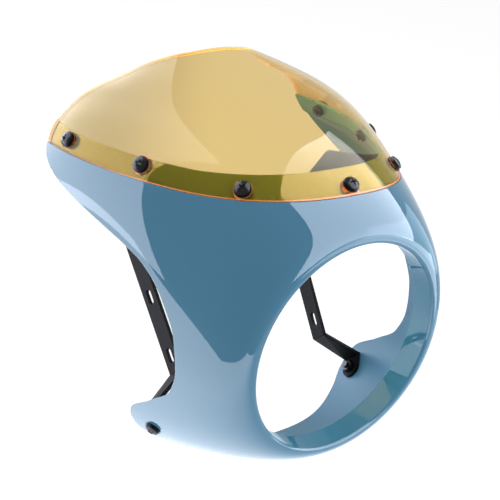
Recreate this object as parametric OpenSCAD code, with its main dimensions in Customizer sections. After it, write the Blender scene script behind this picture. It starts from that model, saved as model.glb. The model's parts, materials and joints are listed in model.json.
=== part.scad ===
// Headlight cowl for a cafe racer motorbike: a moulded shell around a 7 inch
// headlight, a tinted fly screen screwed to a sunk flange, and two steel stays.
// Origin: centre of the lamp mouth, in the plane of its front lip.
// The lamp looks along -Y, the screen rises towards +Z, the rider sits at +Y, so the
// rider's left is +X.

/* [Lamp mouth] */
// Radius of the bore that takes the headlight rim
bore_r = 90; // [88:0.5:92]
// Depth of the collar that runs back from the front lip
collar_l = 22; // [16:1:26]
// Radius of the rounded front lip
lip_r = 2.5; // [2:0.25:3]

/* [Shell] */
// Thickness of the moulded shell
wall = 3; // [2.5:0.25:3.5]
// Depth behind the lip at which the three gains below are reached
shell_l = 245; // [240:1:250]
// Growth of the half width from the lip to the rear
side_gain = 63; // [58:1:68]
// Growth of the crown height from the lip to the rear
crown_gain = 94.5; // [90:0.5:99]
// Growth of the keel depth from the lip to the rear
keel_gain = 75.5; // [72:0.5:79]
// How far the screen's cheeks are flattened at the rear
cheek_dip = 13.5; // [8:0.5:16]

/* [Rear edge] */
// Depth of the screen's top edge on the centre line
crown_y = 211; // [206:1:216]
// Depth of the screen's shoulders, the rearmost place
shoulder_y = 249; // [246:1:252]
// Depth of the lower end of the ears
ear_y = 221; // [216:1:226]
// Depth of the waist between ear and lobe
waist_y = 57; // [54:1:60]
// Depth of the rounded lobes that carry the lower bolts
lobe_y = 114; // [110:1:118]
// Depth of the lower edge on the centre line
keel_y = 82; // [78:1:86]

/* [Fly screen] */
// Thickness of the screen
screen_t = 3; // [2:0.25:3.5]
// Height of the screen's lower edge at the ears
seat_rear_z = 101; // [99:0.5:103]
// Climb of the screen's lower edge from the ears to the nose
seat_rise = 16.5; // [15:0.5:18]
// Extra climb of the screen's lower edge over the nose
nose_rise = 11; // [9:0.5:13]
// Height of the flange under the screen
flange_h = 16.5; // [16:0.5:19]

/* [Fasteners] */
// Thread diameter of the screws
screw_d = 6; // [5:0.5:6]
// Diameter of the screw heads
head_d = 12; // [11:0.5:13]
// Diameter of the washers under the heads
washer_d = 14; // [13:0.5:15]

/* [Stays] */
// Width of the flat bar
bar_w = 18; // [16:0.5:20]
// Thickness of the flat bar
bar_t = 3; // [2.5:0.25:3.5]
// How far inside the mouth's radius each bar's lower slot lies
bar_inset = 11.5; // [10:0.5:13]
// How far each bar opens outward to the rear, in degrees
bar_toe = 4.6; // [3:0.2:6]
// Width of the slots
slot_w = 6.5; // [5.5:0.25:7]
// Length of the slots over their round ends
slot_l = 13; // [11:0.5:16]

/* [Hidden] */
screws = 7;

shell_colour = [0.53, 0.71, 0.82];
screen_colour = [0.90, 0.65, 0.12, 0.6];
steel_colour = [0.06, 0.06, 0.07];

// Fullness of the cross sections: 2 is an ellipse, more is squarer
side_power = 0.45;
crown_power = 0.448;
keel_power = 0.558;
crown_swell = 1.2;
crown_draw = 0.3;
shoulder_swell = 0.35;
shoulder_square = 0.85;
shoulder_shift = 0.5;
keel_flat = 3.1;
keel_square = 0.93;
cheek_from = 34;

// The screen's outside lies flush_gap below the shell's, and lap_clearance above the flange
flush_gap = 0.1;
lap_clearance = 0.1;
sink = flush_gap + screen_t + lap_clearance;
lap_gap = 0.5;
lip_out_r = bore_r + lip_r;
bore_allowance = 0.3;
edge_margin = 1.5;
rim_band = 5;

// Swell of the shell at depth y, as a share of its gain
function swell(y, power) = pow(max(y, 0) / shell_l, power);
function depth_share(y) = max(y, 0) / shell_l;
function mid_bump(y) = 4 * depth_share(y) * (1 - depth_share(y));

// Roundness of a cross section near the centre plane and near the sides
function centre_full(a, y) = sin(a) >= 0
    ? 2 + crown_swell * mid_bump(y) - crown_draw * pow(depth_share(y), 2)
    : 2 + keel_flat * depth_share(y);
function side_full(a, y) = sin(a) >= 0
    ? 2 + shoulder_swell * mid_bump(y) + shoulder_square * pow(depth_share(y), 2)
        - shoulder_shift * sin(360 * min(depth_share(y), 1))
    : 2 + keel_square * depth_share(y);

// Flattening of the cheeks between the shoulders and the crown
function dip(a, y) = let (t = (90 - abs(90 - a)) - cheek_from)
    t <= 0 ? 0 : cheek_dip * pow(depth_share(y), 3) * pow(sin(180 * t / (90 - cheek_from)), 2);

// Point of the outer surface at sweep angle a (0 side, 90 crown, -90 keel) and depth y
function height_at(a, y) = sign(sin(a)) * pow(abs(sin(a)), 2 / side_full(a, y)) *
    (lip_out_r + (sin(a) >= 0 ? crown_gain * swell(y, crown_power) : keel_gain * swell(y, keel_power)))
    - dip(a, y);
function width_at(a, y) = sign(cos(a)) * pow(abs(cos(a)), 2 / centre_full(a, y)) *
    (lip_out_r + side_gain * swell(y, side_power));
function shell_point(a, y) = [width_at(a, y), y, height_at(a, y)];

function unit(v) = v / norm(v);
sweep_step = 0.8;
depth_step = 0.5;
function along_section(a, y) = shell_point(a + sweep_step, y) - shell_point(a - sweep_step, y);
function along_rib(a, y) = let (d = min(depth_step, y / 4)) shell_point(a, y + d) - shell_point(a, y - d);
function normal(a, y) = unit(cross(along_rib(a, y), along_section(a, y)));

// Sweep angle at which the surface reaches height z at depth y
function sweep_at(y, z, lo = -90, hi = 90, turns = 22) = turns == 0 ? (lo + hi) / 2
    : let (mid = (lo + hi) / 2) height_at(mid, y) < z
        ? sweep_at(y, z, mid, hi, turns - 1) : sweep_at(y, z, lo, mid, turns - 1);

// Smooth curve through rising points [u, v] that never overshoots them
function secant(p, i) = (p[i + 1][1] - p[i][1]) / (p[i + 1][0] - p[i][0]);
function slope(p, i) = i == 0 || i == len(p) - 1 ? 0
    : let (s = secant(p, i - 1), t = secant(p, i)) s * t <= 0 ? 0 : 2 * s * t / (s + t);
function segment(p, u, i = 0) = i >= len(p) - 2 || u < p[i + 1][0] ? i : segment(p, u, i + 1);
function smooth(p, u) = let (
    i = segment(p, u),
    w = p[i + 1][0] - p[i][0],
    t = min(max((u - p[i][0]) / w, 0), 1))
    p[i][1] * (1 + 2 * t) * pow(1 - t, 2) + slope(p, i) * w * t * pow(1 - t, 2) +
    p[i + 1][1] * t * t * (3 - 2 * t) + slope(p, i + 1) * w * t * t * (t - 1);

// Height of the screen's lower edge and of the flange's top, seen from the side
seat_end_y = 242;
nose_end_y = 100;
nose_power = 1.8;
nose_flange_rise = 5;
function over_nose(y) = max(1 - y / nose_end_y, 0);
function seat_z(y) = seat_rear_z + seat_rise * max(1 - y / seat_end_y, 0)
    + nose_rise * pow(over_nose(y), nose_power);
function flange_z(y) = seat_z(y) + flange_h + nose_flange_rise * over_nose(y);

// Side view of the rear edge, as height and depth, from keel to crown
keel_end = [height_at(-90, keel_y), keel_y];
crown_end = [height_at(90, crown_y), crown_y];
rear_edge = [
    keel_end, [-117, lobe_y - 13], [-104, lobe_y - 1], [-95, lobe_y], [-84, lobe_y - 3],
    [-61, lobe_y - 30], [-42, waist_y + 6], [-22, waist_y], [4, waist_y + 4],
    [30, waist_y + 21], [52, waist_y + 48], [84, ear_y],
    [94, shoulder_y - 10], [104, shoulder_y - 3], [117, shoulder_y], [134, shoulder_y - 3],
    [160, shoulder_y - 12], [174, crown_y + 10], crown_end];

// A rib runs back from the mouth at one sweep angle and bends to another at its rear end:
// [angle at the mouth, depth of its end, angle at its end]
rib_bend = 8;
function rib_sweep(r, y) = r[0] + (r[2] - r[0]) * pow(y / r[1], rib_bend);
function rib_height(r, y) = height_at(rib_sweep(r, y), y);
function skin(r, y, inward) = let (a = rib_sweep(r, y)) shell_point(a, y) - inward * normal(a, y);

// Ribs under the screen end on its rear edge, at these heights for their angles at the mouth
screen_ends = [
    [19.4, 90], [20, 98], [21, 105], [23, 111], [27, 117], [33, 123.5], [40, 134], [51, 147], [64, 159],
    [79, 174.5], [90, crown_end[0]]];
function screen_rib(a) = let (z = smooth(screen_ends, a), y = smooth(rear_edge, z))
    [a, y, sweep_at(y, z)];

// Depth at which a rib crosses the screen's lower edge, raised by rise, or the flange's top
function above_seat(r, y, rise) = rib_height(r, y) - seat_z(y) - rise;
function seat_depth(r, rise, lo, hi, turns = 22) = turns == 0 ? (lo + hi) / 2
    : let (mid = (lo + hi) / 2) above_seat(r, mid, rise) < 0
        ? seat_depth(r, rise, mid, hi, turns - 1) : seat_depth(r, rise, lo, mid, turns - 1);
function flange_depth(r, lo, hi, turns = 22) = turns == 0 ? (lo + hi) / 2
    : let (mid = (lo + hi) / 2) rib_height(r, mid) < flange_z(mid)
        ? flange_depth(r, mid, hi, turns - 1) : flange_depth(r, lo, mid, turns - 1);

// Starting angle of the rib where the screen's lower edge runs out at the ear
function corner_angle(lo = 19, hi = 23, turns = 16) = turns == 0 ? hi
    : let (mid = (lo + hi) / 2, r = screen_rib(mid)) above_seat(r, r[1] - rim_band, 0) < 0
        ? corner_angle(mid, hi, turns - 1) : corner_angle(lo, mid, turns - 1);
corner_a = corner_angle();
corner_rib = screen_rib(corner_a);
corner_z = rib_height(corner_rib, corner_rib[1]);

// Ribs below the ears run on past the rear edge, which is then cut to its side view
spare_ends = [
    [-90, keel_y + 12], [-60, lobe_y + 8], [-38, lobe_y + 18], [-8, 168], [corner_a, corner_rib[1] + 4]];
fan_a = -10;
function fan_share(a) = pow(max(a - fan_a, 0) / (corner_a - fan_a), 3);
function spare_rib(a) = [a, smooth(spare_ends, a), a + (corner_rib[2] - corner_a) * fan_share(a)];

// Sweep angles of the right half's ribs
function spread(from, to, count) = [for (i = [0:count - 1]) from + (to - from) * i / count];
low_angles = concat(spread(-90, fan_a, 20), spread(fan_a, corner_a, 9));
high_angles = concat(spread(corner_a, 25, 4), spread(25, 45, 6), spread(45, 90, 8), [90]);

row_power = 1.7;
function ease(k, count) = pow(k / count, row_power);
skin_rows = 12;
flange_rows = 3;

// Depths of the rows that the shell's flange and the screen share on a rib
function lap_rows(r) = let (
    start = seat_depth(r, lap_gap, 0, r[1]),
    end = flange_depth(r, start, r[1] - edge_margin))
    [for (k = [0:flange_rows - 1]) start + (end - start) * k / (flange_rows - 1)];

function mouth_point(a, r, y) = [r * cos(a), y, r * sin(a)];

// One closed section of the shell, from the collar over the lip to the rear edge and back
function shell_loop(r, flanged) = let (
    a = r[0],
    top = flanged ? seat_depth(r, 0, 0, r[1]) : r[1] - rim_band,
    drop = flanged ? sink : 0,
    rim_step = rim_band / (flange_rows + 1),
    lap = flanged ? lap_rows(r) : [for (k = [1:flange_rows]) top + rim_step * (k + 1)])
    concat(
        [mouth_point(a, bore_r - bore_allowance, collar_l), mouth_point(a, bore_r - bore_allowance, lip_r)],
        [for (t = [45, 90]) mouth_point(a, lip_out_r - lip_r * cos(t), lip_r - lip_r * sin(t))],
        [for (k = [1:skin_rows]) skin(r, top * ease(k, skin_rows), 0)],
        [flanged ? skin(r, top, drop) : skin(r, top + rim_step, 0)],
        [for (y = lap) skin(r, y, drop)],
        [for (k = [flange_rows - 1:-1:1]) skin(r, lap[k], drop + wall)],
        [skin(r, top, drop + wall)],
        [for (k = [skin_rows - 1:-1:1]) skin(r, top * ease(k, skin_rows), wall)],
        [mouth_point(a, bore_r + wall, lip_r + wall), mouth_point(a, bore_r + wall, collar_l)]);

// One closed section of the screen: seated underside forward, then the outside back
screen_rows = 9;
function screen_loop(r) = let (
    lap = lap_rows(r),
    start = lap[flange_rows - 1],
    rows = concat(lap, [for (k = [1:screen_rows]) start + (r[1] - start) * k / screen_rows]),
    last = len(rows) - 1)
    concat([for (y = rows) skin(r, y, flush_gap + screen_t)],
        [for (k = [last:-1:0]) skin(r, rows[k], flush_gap)]);

// Sections of the right half, the centre ones among them, and their mirror images
function flip(loop) = [for (p = loop) [-p[0], p[1], p[2]]];
function backwards(list, skip) = [for (i = [len(list) - 1 - skip:-1:0]) list[i]];
low_loops = [for (a = low_angles) shell_loop(spare_rib(a), false)];
high_loops = [for (a = high_angles) shell_loop(screen_rib(a), true)];
shell_loops = concat(low_loops, high_loops,
    [for (l = backwards(high_loops, 1)) flip(l)],
    [for (i = [len(low_loops) - 1:-1:1]) flip(low_loops[i])]);
screen_half = [for (a = high_angles) screen_loop(screen_rib(a))];
screen_loops = concat(screen_half, [for (l = backwards(screen_half, 1)) flip(l)]);

// Closed solid through a ring of sections, or an open run with both ends capped
module loft(loops, ring) {
    n = len(loops);
    m = len(loops[0]);
    sides = [for (i = [0:ring ? n - 1 : n - 2], k = [0:m - 1]) let (
        a = i * m + k, b = (i + 1) % n * m + k,
        c = (i + 1) % n * m + (k + 1) % m, d = i * m + (k + 1) % m)
        each [[a, c, b], [a, d, c]]];
    first = [for (k = [0:m / 2 - 2]) each [[k, m - 2 - k, k + 1], [k, m - 1 - k, m - 2 - k]]];
    back = (n - 1) * m;
    end_cap = [for (k = [0:m / 2 - 2]) each
        [[back + k, back + k + 1, back + m - 2 - k], [back + k, back + m - 2 - k, back + m - 1 - k]]];
    polyhedron([for (l = loops) each l], ring ? sides : concat(sides, first, end_cap), convexity = 6);
}

// Puts its children on the outer surface, +Z along the outward normal
module on_surface(a, y, lift = 0) {
    n = normal(a, y);
    u = unit(along_section(a, y));
    v = cross(n, u);
    p = shell_point(a, y) + lift * n;
    multmatrix([[u[0], v[0], n[0], p[0]], [u[1], v[1], n[1], p[1]], [u[2], v[2], n[2], p[2]]]) children();
}

// Screen screws from the ear to the nose, as depth and rise above the screen's lower edge
ear_screw_inset = 28.4;
screw_places = [[corner_rib[1] - ear_screw_inset, 9.4], [137, 11], [62, 7.5]];
screw_half = [for (s = screw_places) [sweep_at(s[0], seat_z(s[0]) + s[1]), s[0]]];
screw_at = concat([for (s = screw_half) [180 - s[0], s[1]]], [[90, 28.5]],
    [for (i = [2:-1:0]) screw_half[i]]);
stay_screws = [3, 5];
function holds_stay(i) = i == stay_screws[0] || i == stay_screws[1];
bolt_y = 95;
bolt_drop = 8;
bolt_z = -(bore_r + bolt_drop);
bolt_a = sweep_at(bolt_y, bolt_z);

washer_t = 1;
head_h = 4;
dome_r = 10.8;
recess_l = 6;
recess_w = 1.4;
recess_d = 2;
nut_af = 10;
nut_h = 5;
screw_clearance = 0.3;
washer_clearance = 0.2;
spot_depth = 0.3;
spot_clearance = 0.4;
nut_spot = 0.3;
foot_spot = 0.2;
thread_out = 2;
spot_reach = 12;
hole_reach = 25;

// Distances from the outer surface, positive outward, of each seat on the screw's axis
outer_seat = -flush_gap - spot_depth;
inner_seat = -(sink + wall) + nut_spot;
foot_seat = -(sink + wall) + foot_spot;
bolt_outer_seat = -spot_depth;
bolt_inner_seat = -wall + foot_spot;
function nut_seat(i) = holds_stay(i) ? foot_seat - bar_t : inner_seat;

module spot(top, r, up) {
    translate([0, 0, up ? top : top - spot_reach]) cylinder(h = spot_reach, r = r, $fn = 48);
}

module through_hole() {
    cylinder(h = 2 * hole_reach, r = screw_d / 2 + screw_clearance, center = true, $fn = 48);
}

// Flat pocket inside the shell for a stay's foot and its tongue
module foot_pocket(a, y, seat, toward, tongue) {
    pocket_w = bar_w + 2 * spot_clearance;
    on_surface(a, y) rotate([0, 0, toward]) {
        spot(seat, pocket_w / 2, false);
        translate([0, -pocket_w / 2, seat - spot_reach]) cube([tongue + bend_d, pocket_w, spot_reach]);
    }
}

module both_sides() {
    children();
    mirror([1, 0, 0]) children();
}

// Everything behind the rear edge, from the keel up to the ears' corners
module behind_rear_edge() {
    steps = 64;
    low = keel_end[0] - 10;
    beyond = shell_l + 60;
    edge = [for (i = [0:steps]) let (z = low + (corner_z - low) * i / steps) [smooth(rear_edge, z), z]];
    rotate([90, 0, 90]) linear_extrude(2 * shell_l, center = true)
        polygon(concat(edge, [[beyond, corner_z], [beyond, low]]));
}

module cowl_shell() {
    color(shell_colour) difference() {
        loft(shell_loops, true);
        behind_rear_edge();
        rotate([-90, 0, 0]) translate([0, 0, -1]) cylinder(h = collar_l + 2, r = bore_r, $fn = 180);
        for (i = [1:screws]) on_surface(screw_at[i - 1][0], screw_at[i - 1][1]) {
            through_hole();
            if (!holds_stay(i)) spot(inner_seat, nut_af / sqrt(3) + spot_clearance, false);
        }
        for (a = [bolt_a, 180 - bolt_a]) on_surface(a, bolt_y) {
            through_hole();
            spot(bolt_outer_seat, washer_d / 2 + spot_clearance, true);
        }
        both_sides() {
            foot_pocket(bolt_a, bolt_y, bolt_inner_seat, low_turn, low_tongue);
            foot_pocket(top_screw[0], top_screw[1], foot_seat, top_turn, top_tongue);
        }
    }
}

module fly_screen() {
    color(screen_colour) difference() {
        loft(screen_loops, false);
        for (s = screw_at) on_surface(s[0], s[1]) {
            through_hole();
            spot(outer_seat, washer_d / 2 + spot_clearance, true);
        }
    }
}

module washer(seat) {
    translate([0, 0, seat]) difference() {
        cylinder(h = washer_t, r = washer_d / 2, $fn = 48);
        translate([0, 0, -1]) cylinder(h = washer_t + 2, r = screw_d / 2 + washer_clearance, $fn = 48);
    }
}

// Pan head screw with a cross recess; its tip ends below the nut
module screw(seat, nut_top) {
    translate([0, 0, seat + washer_t]) difference() {
        union() {
            intersection() {
                cylinder(h = head_h, r = head_d / 2, $fn = 48);
                translate([0, 0, head_h - dome_r]) sphere(r = dome_r, $fn = 96);
            }
            mirror([0, 0, 1]) cylinder(h = seat + washer_t - nut_top + nut_h + thread_out,
                r = screw_d / 2, $fn = 48);
        }
        for (turn = [0, 90]) rotate([0, 0, turn])
            translate([-recess_l / 2, -recess_w / 2, head_h - recess_d])
                cube([recess_l, recess_w, recess_d + 1]);
    }
}

module nut(top) {
    translate([0, 0, top - nut_h]) difference() {
        cylinder(h = nut_h, r = nut_af / sqrt(3), $fn = 6);
        translate([0, 0, -1]) cylinder(h = nut_h + 2, r = screw_d / 2, $fn = 48);
    }
}

module screen_screw(i) {
    color(steel_colour) on_surface(screw_at[i - 1][0], screw_at[i - 1][1]) screw(outer_seat, nut_seat(i));
}

module screen_washer(i) {
    color(steel_colour) on_surface(screw_at[i - 1][0], screw_at[i - 1][1]) washer(outer_seat);
}

module screen_nut(i) {
    color(steel_colour) on_surface(screw_at[i - 1][0], screw_at[i - 1][1]) nut(nut_seat(i));
}

function bolt_angle(side) = side == "left" ? bolt_a : 180 - bolt_a;

module lower_bolt(side) {
    color(steel_colour) on_surface(bolt_angle(side), bolt_y)
        screw(bolt_outer_seat, bolt_inner_seat - bar_t);
}

module lower_washer(side) {
    color(steel_colour) on_surface(bolt_angle(side), bolt_y) washer(bolt_outer_seat);
}

module lower_nut(side) {
    color(steel_colour) on_surface(bolt_angle(side), bolt_y) nut(bolt_inner_seat - bar_t);
}

// Side view of the flat bar, as depth and height
slot_low = [124, -52.5];
slot_high = [157.5, -13];
bar_dir = unit(slot_high - slot_low);
foot_reach = 16;
elbow_reach = 48;
bar_foot = slot_low - foot_reach * bar_dir;
bar_elbow = slot_high + elbow_reach * bar_dir;
bar_knee = [139, 95];
bar_tip = [96, 108];
bend_d = bar_t + 0.4;
bend_inset = 0.4;
rod_drop = 0.5;

// Turns the side view of a bar into its place; the bar swings about its lower slot
bar_x = bore_r - bar_inset;
function bar_way(q) = [sin(bar_toe) * q[0], cos(bar_toe) * q[0], q[1]];
function bar_place(p) = [bar_x, slot_low[0], 0] + bar_way([p[0] - slot_low[0], p[1]]);
module beside_lamp(out) {
    translate([bar_x, slot_low[0], 0]) rotate([0, 0, -bar_toe]) translate([out, -slot_low[0], 0])
        rotate([90, 0, 90]) children();
}

// Flat bar between two places of the side view
module bar_leg(p, q) {
    translate(p) rotate(atan2(q[1] - p[1], q[0] - p[0])) translate([0, -bar_w / 2])
        square([norm(q - p), bar_w]);
}

module slot(p) {
    translate(p) rotate(atan2(bar_dir[1], bar_dir[0])) {
        square([slot_l - slot_w, slot_w], center = true);
        for (s = [-1, 1]) translate([s * (slot_l - slot_w) / 2, 0]) circle(d = slot_w, $fn = 32);
    }
}

// Round rod of one bar's width across the bar, where the bar is bent
module bend_rod(p, across) {
    v = unit(across);
    turn = acos(v[2]);
    translate(p) rotate([0, turn, atan2(v[1], v[0])])
        cylinder(h = bar_w - bend_inset, d = bend_d, center = true, $fn = 16);
}

// Foot plate under a nut: a round end at the screw and a tongue towards the bend
module foot(a, y, seat, toward, tongue) {
    on_surface(a, y, seat - bar_t) rotate([0, 0, toward]) difference() {
        union() {
            cylinder(h = bar_t, d = bar_w, $fn = 48);
            translate([0, -bar_w / 2, 0]) cube([tongue, bar_w, bar_t]);
        }
        translate([0, 0, -1]) cylinder(h = bar_t + 2, r = screw_d / 2 + screw_clearance, $fn = 48);
    }
}

// Direction in space of a foot's tongue, and the place of its end
function tongue_dir(a, y, toward) = let (n = normal(a, y), u = unit(along_section(a, y)))
    cos(toward) * u + sin(toward) * cross(n, u);
function tongue_end(a, y, seat, toward, tongue) = shell_point(a, y) +
    (seat - bar_t / 2 - rod_drop) * normal(a, y) + tongue * tongue_dir(a, y, toward);
function tongue_across(a, y, toward) = cross(normal(a, y), tongue_dir(a, y, toward));

low_turn = -40;
low_tongue = 12;
top_turn = -95;
top_tongue = 9.5;
top_screw = screw_at[stay_screws[1] - 1];

module left_stay() {
    color(steel_colour) {
        difference() {
            beside_lamp(-bar_t / 2) linear_extrude(bar_t) union() {
                bar_leg(bar_foot, bar_elbow);
                bar_leg(bar_elbow, bar_knee);
                bar_leg(bar_knee, bar_tip);
                for (p = [bar_elbow, bar_knee]) translate(p) circle(d = bar_w, $fn = 48);
            }
            beside_lamp(-bar_t) linear_extrude(2 * bar_t) for (p = [slot_low, slot_high]) slot(p);
        }
        foot(bolt_a, bolt_y, bolt_inner_seat, low_turn, low_tongue);
        hull() {
            bend_rod(bar_place(bar_foot), bar_way([bar_dir[1], -bar_dir[0]]));
            bend_rod(tongue_end(bolt_a, bolt_y, bolt_inner_seat, low_turn, low_tongue),
                tongue_across(bolt_a, bolt_y, low_turn));
        }
        foot(top_screw[0], top_screw[1], foot_seat, top_turn, top_tongue);
        hull() {
            bend_rod(bar_place(bar_tip), bar_way([bar_knee[1] - bar_tip[1], bar_tip[0] - bar_knee[0]]));
            bend_rod(tongue_end(top_screw[0], top_screw[1], foot_seat, top_turn, top_tongue),
                tongue_across(top_screw[0], top_screw[1], top_turn));
        }
    }
}

module right_stay() {
    mirror([1, 0, 0]) left_stay();
}

cowl_shell();
fly_screen();
left_stay();
right_stay();
for (i = [1:screws]) {
    screen_screw(i);
    screen_washer(i);
    screen_nut(i);
}
for (side = ["left", "right"]) {
    lower_bolt(side);
    lower_washer(side);
    lower_nut(side);
}
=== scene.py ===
"""Looks of a motorbike headlight cowl: glossy blue shell, amber screen, black steel"""
import json
import math
import bpy
import numpy as np
from mathutils import Matrix, Vector


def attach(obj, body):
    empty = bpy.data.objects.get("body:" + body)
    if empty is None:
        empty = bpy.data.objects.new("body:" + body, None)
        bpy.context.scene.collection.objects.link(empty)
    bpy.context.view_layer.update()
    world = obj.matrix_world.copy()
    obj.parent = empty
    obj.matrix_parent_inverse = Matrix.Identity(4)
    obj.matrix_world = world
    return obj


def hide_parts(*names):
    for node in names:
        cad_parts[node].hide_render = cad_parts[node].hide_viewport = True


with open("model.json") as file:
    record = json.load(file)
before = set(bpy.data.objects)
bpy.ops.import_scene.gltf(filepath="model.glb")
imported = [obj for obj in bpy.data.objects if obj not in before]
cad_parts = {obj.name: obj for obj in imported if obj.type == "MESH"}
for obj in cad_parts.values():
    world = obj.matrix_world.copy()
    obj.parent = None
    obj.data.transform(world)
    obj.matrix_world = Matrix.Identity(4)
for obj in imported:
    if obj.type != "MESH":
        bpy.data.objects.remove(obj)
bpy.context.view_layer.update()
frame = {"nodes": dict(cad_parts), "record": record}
MM = 0.001
TINY = 1e-12

# Driving sizes in millimetres, the same as the part's
BORE_R, COLLAR_L, LIP_R, WALL = 90.0, 22.0, 2.5, 3.0
SHELL_L, SIDE_GAIN, CROWN_GAIN, KEEL_GAIN, CHEEK_DIP = 245.0, 63.0, 94.5, 75.5, 13.5
CROWN_Y, SHOULDER_Y, EAR_Y, WAIST_Y, LOBE_Y, KEEL_Y = 211.0, 249.0, 221.0, 57.0, 114.0, 82.0
SCREEN_T, SEAT_REAR_Z, SEAT_RISE, NOSE_RISE, FLANGE_H = 3.0, 101.0, 16.5, 11.0, 16.5
SCREW_D, WASHER_D = 6.0, 14.0
SIDE_POWER, CROWN_POWER, KEEL_POWER = 0.45, 0.448, 0.558
CROWN_SWELL, CROWN_DRAW = 1.2, 0.3
SHOULDER_SWELL, SHOULDER_SQUARE, SHOULDER_SHIFT = 0.35, 0.85, 0.5
KEEL_FLAT, KEEL_SQUARE, CHEEK_FROM = 3.1, 0.93, 34.0
FLUSH_GAP, LAP_CLEARANCE, LAP_GAP, EDGE_MARGIN, RIM_BAND = 0.1, 0.1, 0.5, 1.5, 5.0
SINK = FLUSH_GAP + SCREEN_T + LAP_CLEARANCE
LIP_OUT_R = BORE_R + LIP_R
SEAT_END_Y, NOSE_END_Y, NOSE_POWER, NOSE_FLANGE_RISE = 242.0, 100.0, 1.8, 5.0
RIB_BEND, FAN_A = 8, -10.0


# Surface of the shell

def share(y):
    return np.maximum(y, 0) / SHELL_L


def bump(y):
    return 4 * share(y) * (1 - share(y))


def centre_full(s, y):
    up = 2 + CROWN_SWELL * bump(y) - CROWN_DRAW * share(y) ** 2
    return np.where(s >= 0, up, 2 + KEEL_FLAT * share(y))


def side_full(s, y):
    shift = SHOULDER_SHIFT * np.sin(2 * np.pi * np.minimum(share(y), 1))
    up = 2 + SHOULDER_SWELL * bump(y) + SHOULDER_SQUARE * share(y) ** 2 - shift
    return np.where(s >= 0, up, 2 + KEEL_SQUARE * share(y))


def height_at(a, y):
    s = np.sin(np.radians(a))
    gain = np.where(s >= 0, CROWN_GAIN * share(y) ** CROWN_POWER, KEEL_GAIN * share(y) ** KEEL_POWER)
    t = np.maximum(90 - np.abs(90 - a) - CHEEK_FROM, 0)
    dip = CHEEK_DIP * share(y) ** 3 * np.sin(np.pi * t / (90 - CHEEK_FROM)) ** 2
    return np.sign(s) * np.abs(s) ** (2 / side_full(s, y)) * (LIP_OUT_R + gain) - dip


def width_at(a, y):
    s, c = np.sin(np.radians(a)), np.cos(np.radians(a))
    c = np.where(np.abs(c) < TINY, 0, c)
    half_width = LIP_OUT_R + SIDE_GAIN * share(y) ** SIDE_POWER
    return np.sign(c) * np.abs(c) ** (2 / centre_full(s, y)) * half_width


def shell_point(a, y):
    a, y = np.broadcast_arrays(np.asarray(a, float), np.asarray(y, float))
    return np.stack([width_at(a, y), y, height_at(a, y)], -1)


def unit(v):
    return v / np.linalg.norm(v, axis=-1, keepdims=True)


def along_section(a, y, step=0.8):
    return shell_point(a + step, y) - shell_point(a - step, y)


def normal(a, y, step=0.5):
    d = np.minimum(step, y / 4)
    return unit(np.cross(shell_point(a, y + d) - shell_point(a, y - d), along_section(a, y)))


def find(low, high, below, turns=30):
    """Place between low and high where below(place) stops being true"""
    low, high = np.array(low, float), np.array(high, float)
    for _ in range(turns):
        mid = (low + high) / 2
        up = below(mid)
        low, high = np.where(up, mid, low), np.where(up, high, mid)
    return (low + high) / 2


def sweep_at(y, z):
    """Sweep angle at which the surface reaches height z at depth y"""
    y, z = np.broadcast_arrays(np.asarray(y, float), np.asarray(z, float))
    return find(np.full(y.shape, -90.0), np.full(y.shape, 90.0), lambda a: height_at(a, y) < z)


def smooth(points, u):
    """Smooth curve through rising points, flat at both ends, that never overshoots them"""
    x, v = np.array(points, float).T
    s = np.diff(v) / np.diff(x)
    slope = np.zeros(len(x))
    rising = s[:-1] * s[1:] > 0
    slope[1:-1][rising] = (2 * s[:-1] * s[1:])[rising] / (s[:-1] + s[1:])[rising]
    i = np.clip(np.searchsorted(x, u, side="right") - 1, 0, len(x) - 2)
    w = x[i + 1] - x[i]
    t = np.clip((u - x[i]) / w, 0, 1)
    start = v[i] * (1 + 2 * t) * (1 - t) ** 2 + slope[i] * w * t * (1 - t) ** 2
    return start + v[i + 1] * t * t * (3 - 2 * t) + slope[i + 1] * w * t * t * (t - 1)


# Seat line, flange and rear edge, seen from the side

def over_nose(y):
    return np.maximum(1 - y / NOSE_END_Y, 0)


def seat_z(y):
    climb = SEAT_RISE * np.maximum(1 - y / SEAT_END_Y, 0)
    return SEAT_REAR_Z + climb + NOSE_RISE * over_nose(y) ** NOSE_POWER


def flange_z(y):
    return seat_z(y) + FLANGE_H + NOSE_FLANGE_RISE * over_nose(y)


KEEL_END = (float(height_at(-90.0, KEEL_Y)), KEEL_Y)
CROWN_END = (float(height_at(90.0, CROWN_Y)), CROWN_Y)
REAR_EDGE = [
    KEEL_END, (-117, LOBE_Y - 13), (-104, LOBE_Y - 1), (-95, LOBE_Y), (-84, LOBE_Y - 3),
    (-61, LOBE_Y - 30), (-42, WAIST_Y + 6), (-22, WAIST_Y), (4, WAIST_Y + 4), (30, WAIST_Y + 21),
    (52, WAIST_Y + 48), (84, EAR_Y), (94, SHOULDER_Y - 10), (104, SHOULDER_Y - 3), (117, SHOULDER_Y),
    (134, SHOULDER_Y - 3), (160, SHOULDER_Y - 12), (174, CROWN_Y + 10), CROWN_END]
SCREEN_ENDS = [
    (19.4, 90), (20, 98), (21, 105), (23, 111), (27, 117), (33, 123.5), (40, 134), (51, 147),
    (64, 159), (79, 174.5), (90, CROWN_END[0])]


def screen_ribs(a):
    """Ribs [angle at the mouth, depth of the end, angle at the end] that end on the rear edge"""
    a = np.atleast_1d(np.asarray(a, float))
    z = smooth(SCREEN_ENDS, a)
    y = smooth(REAR_EDGE, z)
    return np.stack([a, y, sweep_at(y, z)], -1)


def rib_sweep(ribs, y):
    return ribs[:, None, 0] + (ribs[:, None, 2] - ribs[:, None, 0]) * (y / ribs[:, None, 1]) ** RIB_BEND


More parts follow.
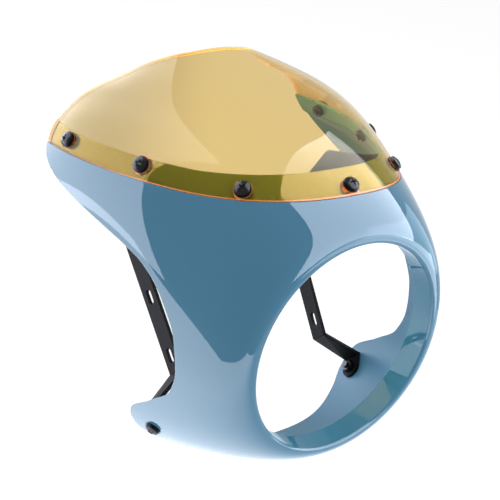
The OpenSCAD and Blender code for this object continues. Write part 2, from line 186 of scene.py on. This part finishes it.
def skin(ribs, y, inward):
    a = rib_sweep(ribs, y)
    return shell_point(a, y) - np.asarray(inward)[..., None] * normal(a, y)


def seat_depth(ribs, rise):
    def below(y):
        return height_at(rib_sweep(ribs, y[:, None])[:, 0], y) - seat_z(y) - rise < 0
    return find(np.full(len(ribs), 1e-3), ribs[:, 1], below)


def flange_depth(ribs, start):
    def below(y):
        return height_at(rib_sweep(ribs, y[:, None])[:, 0], y) < flange_z(y)
    return find(start, ribs[:, 1] - EDGE_MARGIN, below)


def corner_angle():
    """Angle of the rib where the screen's lower edge runs out at the ear"""
    low, high = 19.0, 23.0
    for _ in range(20):
        mid = (low + high) / 2
        rib = screen_ribs(mid)
        y = rib[:, 1] - RIM_BAND
        below = height_at(rib_sweep(rib, y[:, None])[:, 0], y) - seat_z(y) < 0
        low, high = (mid, high) if below[0] else (low, mid)
    return high


CORNER_A = corner_angle()
CORNER_RIB = screen_ribs(CORNER_A)[0]
CORNER_Z = float(height_at(CORNER_RIB[2], CORNER_RIB[1]))
SPARE_ENDS = [
    (-90, KEEL_Y + 12), (-60, LOBE_Y + 8), (-38, LOBE_Y + 18), (-8, 168), (CORNER_A, CORNER_RIB[1] + 4)]


def spare_ribs(a):
    """Ribs below the ears, which run on past the rear edge and are cut to it"""
    fan = (np.maximum(a - FAN_A, 0) / (CORNER_A - FAN_A)) ** 3
    return np.stack([a, smooth(SPARE_ENDS, a), a + (CORNER_RIB[2] - CORNER_A) * fan], -1)


# Sections of the shell and of the screen

SKIN_ROWS, FLANGE_ROWS, SCREEN_ROWS, LIP_STEPS = 60, 7, 56, 8
ROW_POWER = 1.7
# Widths in mm of the strips along the rear edge and the seat edge, which carry the screen's painted glow
REAR_STRIP, SEAT_STRIP = 2.2, 1.3
THICKEN_FROM, INNER_FROM = 0.862, 0.0146
SEAT_STEP = 0.01


def mouth_points(ribs, r, y):
    a = np.radians(ribs[:, 0])
    return np.stack([r * np.cos(a), np.full(len(a), y), r * np.sin(a)], -1)[:, None]


def lap_rows(ribs):
    start = seat_depth(ribs, LAP_GAP)
    end = flange_depth(ribs, start)
    return start[:, None] + (end - start)[:, None] * np.linspace(0, 1, FLANGE_ROWS)


def shell_sections(ribs, flanged):
    """Closed sections from the collar over the lip to the rear edge and back"""
    drop = SINK if flanged else 0.0
    top = seat_depth(ribs, 0) if flanged else ribs[:, 1] - RIM_BAND
    rim_step = RIM_BAND / (FLANGE_ROWS + 1)
    steps = top[:, None] + rim_step * np.arange(1, FLANGE_ROWS + 1)
    lap = lap_rows(ribs) if flanged else steps
    rows = (np.arange(1, SKIN_ROWS + 1) / SKIN_ROWS) ** ROW_POWER
    inner = rows[(rows > INNER_FROM) & (rows < 1)][::-1]
    thicker = np.clip((inner - THICKEN_FROM) / (1 - THICKEN_FROM), 0, 1) * drop
    turn = np.linspace(0, np.pi / 2, LIP_STEPS + 1)[1:]
    lip = [mouth_points(ribs, LIP_OUT_R - LIP_R * math.cos(t), LIP_R - LIP_R * math.sin(t)) for t in turn]
    step = skin(ribs, top[:, None] + (SEAT_STEP if flanged else rim_step / 2), np.full(1, drop))
    parts = [mouth_points(ribs, BORE_R, COLLAR_L), mouth_points(ribs, BORE_R, LIP_R), *lip,
             skin(ribs, top[:, None] * rows, np.zeros(1)), step, skin(ribs, lap, np.full(1, drop)),
             skin(ribs, lap[:, :0:-1], np.full(1, drop + WALL)),
             skin(ribs, top[:, None], np.full(1, drop + WALL)),
             skin(ribs, top[:, None] * inner, WALL + thicker),
             mouth_points(ribs, BORE_R + WALL, LIP_R + WALL), mouth_points(ribs, BORE_R + WALL, COLLAR_L)]
    return np.concatenate(parts, 1)


def screen_sections(ribs):
    """Closed sections of the screen: outside to the rear edge, then the underside back"""
    lap = lap_rows(ribs)
    start, end = lap[:, -1:], ribs[:, 1:2]
    strip = np.maximum(end - REAR_STRIP, (start + end) / 2)
    beyond = start + (strip - start) * np.arange(1, SCREEN_ROWS + 1) / SCREEN_ROWS
    rows = np.concatenate([lap[:, :1], lap[:, :1] + SEAT_STRIP, lap[:, 1:], beyond, end], 1)
    under = skin(ribs, rows[:, ::-1], np.full(1, FLUSH_GAP + SCREEN_T))
    return np.concatenate([skin(ribs, rows, np.full(1, FLUSH_GAP)), under], 1)


def mirrored(sections):
    return sections[::-1] * np.array([-1, 1, 1])


def shell_marks(sections, flanged):
    """Materials of the shell: 0 outside, 1 inside with painted shade, 2 flange with painted shade tinted by
    the screen, 3 bore, 4 back of the flange with painted light tinted by the screen
    """
    n, m = sections.shape[:2]
    step = 1 + LIP_STEPS + SKIN_ROWS
    marks = np.ones((n, m), int)
    marks[:, 1:step + 1 + FLANGE_ROWS] = 0
    if flanged:
        marks[:, step + 1:step + 1 + FLANGE_ROWS] = 2
        marks[:, step + 1 + FLANGE_ROWS:step + 2 * FLANGE_ROWS] = 4
    marks[:, 0] = marks[:, m - 1] = 3
    return marks


def screen_marks(sections):
    """Materials of the screen: 0 sheet, 1 rear edge, 2 seat edge, 3 strip along the rear edge; 1 to 3 carry
    painted glow
    """
    n, m = sections.shape[:2]
    marks = np.zeros((n, m), int)
    marks[:, 0] = marks[:, m - 1] = 2
    marks[:, m // 2 - 1] = 1
    marks[:, m // 2 - 2] = marks[:, m // 2] = 3
    return marks


# Meshes

def new_object(name, points, faces, smooth_faces=True, marks=(), materials=()):
    mesh = bpy.data.meshes.new(name)
    mesh.from_pydata((np.asarray(points) * MM).tolist(), [], faces)
    for material in materials:
        mesh.materials.append(material)
    if marks:
        mesh.polygons.foreach_set("material_index", marks)
    mesh.validate()
    mesh.update()
    if smooth_faces:
        mesh.polygons.foreach_set("use_smooth", [True] * len(mesh.polygons))
    obj = bpy.data.objects.new(name, mesh)
    bpy.context.scene.collection.objects.link(obj)
    return obj


def loft(name, sections, ring, marks, materials):
    """Closed solid through sections, as a ring or as an open run with capped ends

    marks[i, k] is the material of the face that starts at point k of section i."""
    n, m = sections.shape[:2]
    spans = n if ring else n - 1
    faces = []
    for i in range(spans):
        j = (i + 1) % n
        faces += [(i * m + k, i * m + (k + 1) % m, j * m + (k + 1) % m, j * m + k) for k in range(m)]
    chosen = marks[:spans].ravel().tolist()
    if not ring:
        last = (n - 1) * m
        for k in range(m // 2 - 1):
            faces.append((k, m - 1 - k, m - 2 - k, k + 1))
            faces.append((last + k, last + k + 1, last + m - 2 - k, last + m - 1 - k))
            chosen += [1, 1]
    return new_object(name, sections.reshape(-1, 3), faces, True, chosen, materials)


def cutter(name, a, y, low, high, radius, sides=64):
    """Cylinder along the surface's normal, from low to high above it"""
    n, u = normal(a, y), unit(along_section(a, y))
    v, p = np.cross(n, u), shell_point(a, y)
    t = np.linspace(0, 2 * np.pi, sides, endpoint=False)
    ring = radius * (np.cos(t)[:, None] * u + np.sin(t)[:, None] * v)
    points = np.concatenate([p + low * n + ring, p + high * n + ring])
    faces = [(k, (k + 1) % sides, sides + (k + 1) % sides, sides + k) for k in range(sides)]
    faces += [tuple(range(sides))[::-1], tuple(range(sides, 2 * sides))]
    return new_object(name, points, faces)


def behind_rear_edge(steps=160):
    """Everything behind the rear edge, from the keel up to the ears' corners"""
    z = np.linspace(KEEL_END[0] - 10, CORNER_Z, steps + 1)
    side = np.stack([smooth(REAR_EDGE, z), z], -1)
    beyond = SHELL_L + 60
    side = np.concatenate([side, [(beyond, z[-1]), (beyond, z[0])]])
    m = len(side)
    points = [(x, y, z) for x in (-2 * SHELL_L, 2 * SHELL_L) for y, z in side]
    faces = [(k, m + k, m + (k + 1) % m, (k + 1) % m) for k in range(m)]
    faces += [tuple(range(m)), tuple(range(m, 2 * m))[::-1]]
    return new_object("cut_edge", points, faces)


def subtract(obj, cutters):
    for tool in cutters:
        cut = obj.modifiers.new("cut", "BOOLEAN")
        cut.operation, cut.solver, cut.object = "DIFFERENCE", "MANIFOLD", tool
    depsgraph = bpy.context.evaluated_depsgraph_get()
    mesh = bpy.data.meshes.new_from_object(obj.evaluated_get(depsgraph))
    obj.modifiers.clear()
    obj.data = mesh
    for tool in cutters:
        bpy.data.objects.remove(tool)


EAR_SCREW_INSET = 28.4
SCREW_PLACES = [(CORNER_RIB[1] - EAR_SCREW_INSET, 9.4), (137, 11), (62, 7.5)]
HALF = [(float(sweep_at(y, seat_z(y) + rise)), float(y)) for y, rise in SCREW_PLACES]
SCREWS = [(180 - a, y) for a, y in HALF] + [(90.0, 28.5)] + HALF[::-1]
BOLT_Y, BOLT_Z = 95.0, -98.0
BOLT_A = float(sweep_at(BOLT_Y, BOLT_Z))
SPOT, SPOT_CLEARANCE, SCREW_CLEARANCE, REACH = 0.3, 0.4, 0.3, 25.0
# Rings cut in the screen round the screws, which carry the seat edge's painted glow
GLOW_R, GLOW_DEPTH = 8.6, 0.06


# Ribs in each stretch of half a section, split where they have to lie closer
KEEL_RIBS, FAN_RIBS, EAR_RIBS, CROWN_RIBS = 90, 44, 44, 40
SCREEN_EAR_RIBS, SCREEN_CROWN_RIBS = 50, 44
CROWN_FROM, EAR_STEP = 45, 0.02


def make_shell(materials):
    low = np.concatenate([np.linspace(-90, FAN_A, KEEL_RIBS, endpoint=False),
                          np.linspace(FAN_A, CORNER_A, FAN_RIBS)])
    low[-1] = CORNER_A - EAR_STEP
    high = np.concatenate([np.linspace(CORNER_A, CROWN_FROM, EAR_RIBS, endpoint=False),
                           np.linspace(CROWN_FROM, 90, CROWN_RIBS)])
    low_part = shell_sections(spare_ribs(low), False)
    high_part = shell_sections(screen_ribs(high), True)
    half = np.concatenate([low_part, high_part])
    marks = np.concatenate([shell_marks(low_part, False), shell_marks(high_part, True)])
    marks = np.concatenate([marks, marks[::-1][1:-1]])
    shell = loft("moulded_shell", np.concatenate([half, mirrored(half[1:-1])]), True, marks, materials)
    holes = [cutter("cut", a, y, -REACH, REACH, SCREW_D / 2 + SCREW_CLEARANCE) for a, y in SCREWS]
    for a in (BOLT_A, 180 - BOLT_A):
        holes.append(cutter("cut", a, BOLT_Y, -REACH, REACH, SCREW_D / 2 + SCREW_CLEARANCE))
        holes.append(cutter("cut", a, BOLT_Y, -SPOT, REACH, WASHER_D / 2 + SPOT_CLEARANCE))
    subtract(shell, [behind_rear_edge(), *holes])
    return shell


def make_screen(materials):
    high = np.concatenate([np.linspace(CORNER_A, CROWN_FROM, SCREEN_EAR_RIBS, endpoint=False),
                           np.linspace(CROWN_FROM, 90, SCREEN_CROWN_RIBS)])
    half = screen_sections(screen_ribs(high))
    sections = np.concatenate([half, mirrored(half[:-1])])
    screen = loft("bent_screen", sections, False, screen_marks(sections), materials)
    cuts = []
    for a, y in SCREWS:
        cuts.append(cutter("cut", a, y, -REACH, REACH, SCREW_D / 2 + SCREW_CLEARANCE))
        cuts.append(cutter("cut", a, y, -FLUSH_GAP - SPOT, REACH, WASHER_D / 2 + SPOT_CLEARANCE))
        cuts.append(cutter("cut", a, y, -FLUSH_GAP - GLOW_DEPTH, REACH, GLOW_R))
    subtract(screen, cuts)
    return screen


SHARP_FROM = 32


def sharpen(obj):
    obj.data.set_sharp_from_angle(angle=math.radians(SHARP_FROM))


def mark_holes(screen):
    """Gives the seat edge's material, with its painted glow, to the holes' walls and the rings round the
    washers
    """
    mesh = screen.data
    count = len(mesh.polygons)
    points, corners = np.empty(len(mesh.vertices) * 3), np.empty(len(mesh.loops), np.int32)
    starts, material = np.empty(count, np.int32), np.empty(count, np.int32)
    mesh.vertices.foreach_get("co", points)
    mesh.loops.foreach_get("vertex_index", corners)
    mesh.polygons.foreach_get("loop_start", starts)
    mesh.polygons.foreach_get("material_index", material)
    for a, y in SCREWS:
        n = normal(a, y)
        away = points.reshape(-1, 3) / MM - shell_point(a, y)
        height = away @ n
        beside = np.linalg.norm(away - height[:, None] * n, axis=1)
        near = (beside < GLOW_R + 0.05) & (np.abs(height) < 2 * SCREEN_T)
        material[np.minimum.reduceat(near[corners], starts)] = 2
    mesh.polygons.foreach_set("material_index", material)


# Materials, with colours as sRGB in 0 to 255

# The second blue is the first one darkened: painted shade inside the cowl
BLUE, SHADED_INSIDE_BLUE = (72, 138, 174), (58, 115, 153)
# The olive is the blue flange with painted shade and amber tint, the teal is the flange's back with painted
# light tinted by the screen
PAINTED_SHADE_OLIVE, PAINTED_LIGHT_TEAL = (80, 106, 50), (90, 150, 146)
# The first amber is the sheet's own tint; the seat, rear and band ambers are painted glow on the screen's
# edges and along its rear edge
AMBER, PAINTED_GLOW_SEAT = (220, 192, 127), (222, 128, 36)
PAINTED_GLOW_REAR, PAINTED_GLOW_BAND = (250, 190, 96), (250, 222, 150)
# Blacks, as linear colours
BLACK, STEEL_GREY = (0.006, 0.006, 0.007, 1), (0.012, 0.012, 0.014, 1)
ZINC_GREY = (0.014, 0.014, 0.015, 1)
# Radii of the rounded edges in metres
LACQUER_EDGE, STEEL_EDGE, SCREW_EDGE = 0.0007, 0.0005, 0.0003


def linear(rgb):
    """Linear colour of an sRGB one in 0 to 255"""
    c = np.array(rgb, float) / 255
    return (*np.where(c <= 0.04045, c / 12.92, ((c + 0.055) / 1.055) ** 2.4), 1.0)


def scaled(rgb, share_kept):
    return [c * share_kept for c in rgb]


class Nodes:
    """Short way to add and join the shader nodes of a material, the world or a light"""

    def __init__(self, owner):
        owner.use_nodes = True
        self.owner, self.tree = owner, owner.node_tree
        self.shader = self.tree.nodes.get("Principled BSDF")
        self.output = self.tree.nodes.get("Material Output")

    def add(self, kind, **values):
        node = self.tree.nodes.new(kind)
        for key, value in values.items():
            if key in node.inputs:
                node.inputs[key].default_value = value
            else:
                setattr(node, key, value)
        return node

    def join(self, out, socket):
        self.tree.links.new(out, socket)

    def noise(self, scale, detail=2.0, roughness=0.5):
        place = self.add("ShaderNodeTexCoord")
        noise = self.add("ShaderNodeTexNoise", Scale=scale, Detail=detail, Roughness=roughness)
        self.join(place.outputs["Object"], noise.inputs["Vector"])
        return noise.outputs["Fac"]

    def ramp(self, value, low, high, start=0.0, end=1.0, interpolation="LINEAR"):
        """Maps start to end onto low to high"""
        node = self.add("ShaderNodeMapRange", interpolation_type=interpolation)
        self.join(value, node.inputs["Value"])
        for name, number in (("From Min", start), ("From Max", end), ("To Min", low), ("To Max", high)):
            node.inputs[name].default_value = number
        return node.outputs["Result"]

    def mix(self, value, first, second):
        node = self.add("ShaderNodeMix", data_type="RGBA")
        self.join(value, node.inputs["Factor"])
        node.inputs["A"].default_value = first
        node.inputs["B"].default_value = second
        return node.outputs["Result"]

    def greater(self, first, second):
        node = self.add("ShaderNodeMath", operation="MAXIMUM")
        self.join(first, node.inputs[0])
        self.join(second, node.inputs[1])
        return node.outputs[0]

    def soft_edge(self, radius):
        """Normal that rounds the sharp edges"""
        return self.add("ShaderNodeBevel", samples=4, Radius=radius).outputs["Normal"]

    def bump(self, height, normal, strength):
        node = self.add("ShaderNodeBump", Strength=strength, Distance=0.0002)
        self.join(height, node.inputs["Height"])
        self.join(normal, node.inputs["Normal"])
        return node.outputs["Normal"]

    def set(self, **values):
        for key, value in values.items():
            self.shader.inputs[key.replace("_", " ")].default_value = value

    def feed(self, **sources):
        for key, source in sources.items():
            self.join(source, self.shader.inputs[key.replace("_", " ")])

    def let_light_through(self, tint):
        """Makes the shadows of the material tinted light"""
        rays = self.add("ShaderNodeLightPath")
        clear = self.add("ShaderNodeBsdfTransparent", Color=tint)
        mixed = self.add("ShaderNodeMixShader")
        self.join(rays.outputs["Is Shadow Ray"], mixed.inputs[0])
        self.join(self.shader.outputs[0], mixed.inputs[1])
        self.join(clear.outputs[0], mixed.inputs[2])
        self.join(mixed.outputs[0], self.output.inputs["Surface"])

    def background_rays(self):
        """1 for rays that see a white background: in the open, in gloss or through glass"""
        rays = self.add("ShaderNodeLightPath").outputs
        indirect = self.greater(rays["Is Transmission Ray"], rays["Is Glossy Ray"])
        return self.greater(rays["Is Camera Ray"], indirect)


def new_material(name):
    return Nodes(bpy.data.materials.new(name))


def paint(n, colour):
    """Colour with a faint cloud, as a moulded and painted shell has"""
    lighter = linear([c + 4 for c in colour])
    n.feed(Base_Color=n.mix(n.noise(14.0, 3.0), linear(colour), lighter))


def lacquer(name, colour, coat, ior):
    """Glossy clear coat with a trace of orange peel over the paint"""
    n = new_material(name)
    paint(n, colour)
    n.set(Specular_IOR_Level=0.0, Coat_Weight=coat, Coat_Roughness=0.02, Coat_IOR=ior)
    edge = n.soft_edge(LACQUER_EDGE)
    n.feed(Roughness=n.ramp(n.noise(260.0), 0.3, 0.4), Normal=n.bump(n.noise(420.0), edge, 0.01),
           Coat_Normal=edge)
    return n.owner


def satin_paint(name, colour):
    n = new_material(name)
    paint(n, colour)
    n.set(Specular_IOR_Level=0.2)
    n.feed(Roughness=n.ramp(n.noise(180.0, 3.0), 0.3, 0.42), Normal=n.soft_edge(LACQUER_EDGE))
    return n.owner


def amber_acrylic():
    """Polished clear sheet, tinted through and through"""
    n = new_material("amber_acrylic")
    n.set(IOR=1.17, Transmission_Weight=1.0)
    n.feed(Base_Color=n.mix(n.noise(22.0), linear(AMBER), linear(scaled(AMBER, 0.99))),
           Roughness=n.ramp(n.noise(900.0, 1.0), 0.0, 0.01))
    n.let_light_through(linear([c ** 0.5 * 255 ** 0.5 for c in AMBER]))
    return n.owner


def amber_edge_painted_glow(name, colour, glow):
    """Cut edge of the acrylic with a painted glow: it gives off light though it is no lamp"""
    n = new_material(name)
    n.set(Emission_Color=linear(colour), Emission_Strength=glow)
    n.feed(Base_Color=n.mix(n.noise(60.0), linear(colour), linear(scaled(colour, 0.93))),
           Roughness=n.ramp(n.noise(500.0), 0.2, 0.35))
    return n.owner


def black_steel():
    """Powder coat with its fine grain"""
    n = new_material("black_powder_coat")
    grain = n.noise(1800.0, 3.0, 0.6)
    n.set(IOR=1.1)
    n.feed(Base_Color=n.mix(n.noise(60.0), BLACK, STEEL_GREY), Roughness=n.ramp(grain, 0.4, 0.55),
           Normal=n.bump(grain, n.soft_edge(STEEL_EDGE), 0.12))
    return n.owner


def black_hardware():
    n = new_material("black_zinc")
    n.set(IOR=1.25)
    n.feed(Base_Color=n.mix(n.noise(140.0), BLACK, ZINC_GREY), Roughness=n.ramp(n.noise(700.0), 0.12, 0.24),
           Normal=n.soft_edge(SCREW_EDGE))
    return n.owner


# Studio: floor, light and camera

FLOOR_Z, FLOOR_HALF, FLOOR_GREY, FLOOR_GLOW = -0.30, 6.0, 0.35, 0.82
# What shows through the screen darkens along this direction on the floor, from its end to its start
SHADE_ALONG, SHADE_FROM, SHADE_TO, SHADE = (0.79, -0.6, 0), -0.31, -0.09, 0.52
WORLD_LEVEL = 0.4
PANELS_AT, TABLE_AT, TABLE_HALF = 1.3, -FLOOR_Z - 0.03, 2.7
COOL, TEAL_LIGHT, PALE_BLUE = (0.82, 0.88, 1.0), (0.6, 0.82, 1.0), (0.74, 0.87, 1.0)


def make_floor():
    corners = [(x * FLOOR_HALF / MM, y * FLOOR_HALF / MM, FLOOR_Z / MM)
               for x, y in ((-1, -1), (1, -1), (1, 1), (-1, 1))]
    floor = new_object("floor", corners, [(0, 1, 2, 3)], False)
    n = new_material("white_floor")
    n.tree.nodes.remove(n.shader)
    diffuse = n.add("ShaderNodeBsdfDiffuse", Color=(FLOOR_GREY, FLOOR_GREY, FLOOR_GREY, 1))
    along = n.add("ShaderNodeVectorMath", operation="DOT_PRODUCT")
    n.join(n.add("ShaderNodeTexCoord").outputs["Object"], along.inputs[0])
    along.inputs[1].default_value = SHADE_ALONG
    shade = n.ramp(along.outputs["Value"], SHADE, 1.0, SHADE_FROM, SHADE_TO, "SMOOTHSTEP")
    through_glass = n.add("ShaderNodeMix", data_type="FLOAT")
    n.join(n.add("ShaderNodeLightPath").outputs["Is Transmission Ray"], through_glass.inputs["Factor"])
    through_glass.inputs["A"].default_value = 1.0
    n.join(shade, through_glass.inputs["B"])
    level = n.add("ShaderNodeMath", operation="MULTIPLY")
    n.join(through_glass.outputs[0], level.inputs[0])
    level.inputs[1].default_value = FLOOR_GLOW
    glow = n.add("ShaderNodeEmission", Color=(1, 1, 1, 1))
    n.join(level.outputs[0], glow.inputs["Strength"])
    both = n.add("ShaderNodeAddShader")
    n.join(diffuse.outputs[0], both.inputs[0])
    n.join(glow.outputs[0], both.inputs[1])
    seen = n.add("ShaderNodeMixShader")
    n.join(n.background_rays(), seen.inputs[0])
    n.join(diffuse.outputs[0], seen.inputs[1])
    n.join(both.outputs[0], seen.inputs[2])
    n.join(seen.outputs[0], n.output.inputs["Surface"])
    floor.data.materials.append(n.owner)


def make_world():
    world = bpy.data.worlds.new("studio")
    bpy.context.scene.world = world
    n = Nodes(world)
    background = n.tree.nodes["Background"]
    background.inputs["Color"].default_value = (1, 1, 1, 1)
    n.join(n.ramp(n.background_rays(), WORLD_LEVEL, 1.0), background.inputs["Strength"])


def flat_light(name, matrix, size, level, rays, colour=(1, 1, 1)):
    """Rectangular light as bright as level, seen only by the named kinds of rays"""
    light = bpy.data.lights.new(name, "AREA")
    light.shape, light.size, light.size_y = "RECTANGLE", *size
    light.energy = 4 * size[0] * size[1] * level
    light.color = colour
    obj = bpy.data.objects.new(name, light)
    obj.matrix_world = matrix
    obj.visible_camera = False
    obj.visible_diffuse, obj.visible_glossy = "diffuse" in rays, "glossy" in rays
    obj.visible_transmission = "transmission" in rays
    bpy.context.scene.collection.objects.link(obj)
    return light


def softbox(name, toward, distance, shift, turn, size, light, shine, colour=COOL,
            rays=("glossy", "transmission")):
    """Flat light that faces the object, with shift and size as shares of distance

    toward is (azimuth, elevation); azimuth 0 is in front of the lamp, 90 at the rider's left.
    light is what it gives to matt surfaces, and shine how bright it is for rays."""
    a, e = map(math.radians, toward)
    out = Vector((math.sin(a) * math.cos(e), -math.cos(a) * math.cos(e), math.sin(e)))
    right = Vector((math.cos(a), math.sin(a), 0))
    up = out.cross(right)
    t = math.radians(turn)
    x, y = math.cos(t) * right + math.sin(t) * up, math.cos(t) * up - math.sin(t) * right
    facing = Matrix((x, y, out)).transposed().to_4x4()
    place = (out + shift[0] * right + shift[1] * up) * distance
    metres = [s * distance for s in size]
    if light:
        behind = Matrix.Translation(place + 0.02 * out) @ facing
        flat_light(name + "_light", behind, metres, light, ["diffuse"])
    return flat_light(name + "_shine", Matrix.Translation(place) @ facing, metres, shine, rays, colour)


def table_light(name, height, shift, turn, size, light, shine, colour=COOL):
    """White table top that shows in the gloss from below"""
    return softbox(name, (0, -90), height, shift, turn, size, light, shine, colour, ["glossy"])


def vary_along_x(light, start, end, least, interpolation="SMOOTHSTEP"):
    """Dims a light from x = end, where it has its full strength, to x = start"""
    n = Nodes(light)
    place = n.add("ShaderNodeSeparateXYZ")
    n.join(n.add("ShaderNodeNewGeometry").outputs["Position"], place.inputs[0])
    fall = n.ramp(place.outputs["X"], least, 1.0, start, end, interpolation)
    n.join(fall, n.tree.nodes["Emission"].inputs["Strength"])


def make_lights():
    left = softbox("left_panel", (-150, 35), PANELS_AT, (0.032, -0.5225), -61.1, (1.97, 1.7), 0.6, 6.1)
    vary_along_x(left, 0.15, -0.35, 0.4)
    softbox("right_panel", (55, 45), PANELS_AT, (-0.21, -0.3125), 59.6, (2.45, 1.46), 0.6, 7.7)
    softbox("right_fill", (70, -4), PANELS_AT, (0, 0), 0, (1.1, 0.75), 0, 1.7, TEAL_LIGHT)
    near = table_light("table", TABLE_AT, (0, 0), 0, (2 * TABLE_HALF, 2 * TABLE_HALF), 0.6, 5.1)
    vary_along_x(near, 0.05, -0.40, 0.17)
    far = table_light("table_left", TABLE_AT, (-4.32, -3.75), 30.9, (8.4, 4.8), 0, 5.2)
    near_edge = -TABLE_HALF * TABLE_AT
    vary_along_x(far, near_edge, near_edge - MM, 0.0, "LINEAR")
    table_light("table_right", TABLE_AT - 0.01, (5.0, 3.1), 0, (5.8, 3.9), 0, 4.6, PALE_BLUE)


# The camera stands where the photo's view of the mouth and the screws puts it
CAMERA_PLACE, CAMERA_TURN = (-0.66829, -0.64547, 0.49556), (1.05352, -0.47598, -0.50403)
SENSOR, PHOTO_SIDE, FOCAL_LENGTH = 36.0, 500, 1331.58


def make_camera():
    turn = Vector(CAMERA_TURN)
    camera = bpy.data.cameras.new("camera")
    camera.sensor_width, camera.lens = SENSOR, SENSOR * FOCAL_LENGTH / PHOTO_SIDE
    obj = bpy.data.objects.new("camera", camera)
    obj.matrix_world = Matrix.Translation(CAMERA_PLACE) @ Matrix.Rotation(turn.length, 4, turn.normalized())
    bpy.context.scene.collection.objects.link(obj)
    bpy.context.scene.camera = obj


# The dressed object

def stand_for(obj, node):
    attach(obj, "root")
    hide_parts(node)


def add_shell():
    # The inside carries painted shade, the flange painted shade tinted by the screen, and the flange's back
    # painted light tinted by it
    shell = make_shell([lacquer("blue_lacquer", BLUE, 1.0, 1.4), satin_paint("blue_inside_painted_shade", SHADED_INSIDE_BLUE),
                        lacquer("flange", PAINTED_SHADE_OLIVE, 1.0, 1.8), lacquer("blue_bore", BLUE, 0.45, 1.4),
                        satin_paint("flange_inside_painted_light", PAINTED_LIGHT_TEAL)])
    sharpen(shell)
    stand_for(shell, "cowl_shell")


def add_screen():
    # The edge materials carry painted glow
    screen = make_screen([amber_acrylic(), amber_edge_painted_glow("amber_rear_edge_painted_glow", PAINTED_GLOW_REAR, 0.35),
                          amber_edge_painted_glow("amber_seat_edge_painted_glow", PAINTED_GLOW_SEAT, 0.22),
                          amber_edge_painted_glow("amber_rear_strip_painted_glow", PAINTED_GLOW_BAND, 0.14)])
    sharpen(screen)
    mark_holes(screen)
    stand_for(screen, "fly_screen")


def paint_black_parts():
    looks = {"stay_steel": black_steel(), "black_hardware": black_hardware()}
    for part in frame["record"]["subparts"]:
        look = looks.get(part["material_slot"])
        if look is not None:
            for slot in frame["nodes"][part["node"]].material_slots:
                slot.material = look


add_shell()
add_screen()
paint_black_parts()
make_camera()
make_floor()
make_world()
make_lights()

bpy.context.scene.view_settings.view_transform = "Standard"
